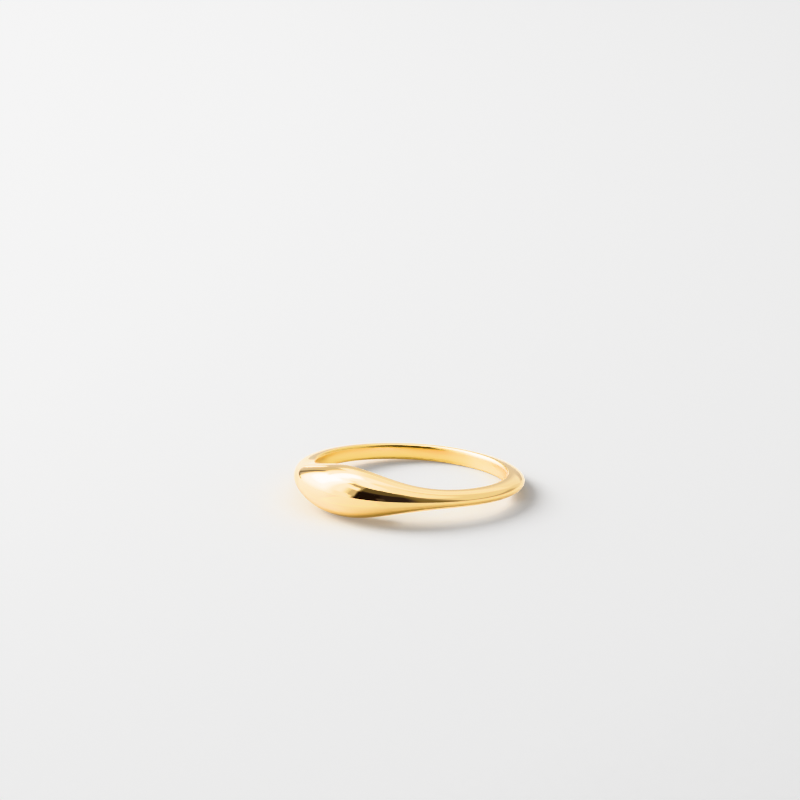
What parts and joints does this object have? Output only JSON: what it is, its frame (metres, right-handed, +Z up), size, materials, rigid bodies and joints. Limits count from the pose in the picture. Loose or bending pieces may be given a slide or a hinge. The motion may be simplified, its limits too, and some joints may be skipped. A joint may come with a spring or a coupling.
{
  "type": "dome ring",
  "caption": "Slim polished finger ring whose band widens and swells into one smooth dome, lying on its side",
  "frame": {"origin": "under the middle of the ring's box, on the surface that it lies on", "axes": "+Z up from the surface, -Y towards the dome, +X to the right of the dome seen from the front"},
  "size_m": [0.0208, 0.0222, 0.0045],
  "materials": {
    "polished_gold": "mirror-polished gold plate"
  },
  "bodies": {
    "root": {"ring": "polished_gold"}
  },
  "joints": []
}
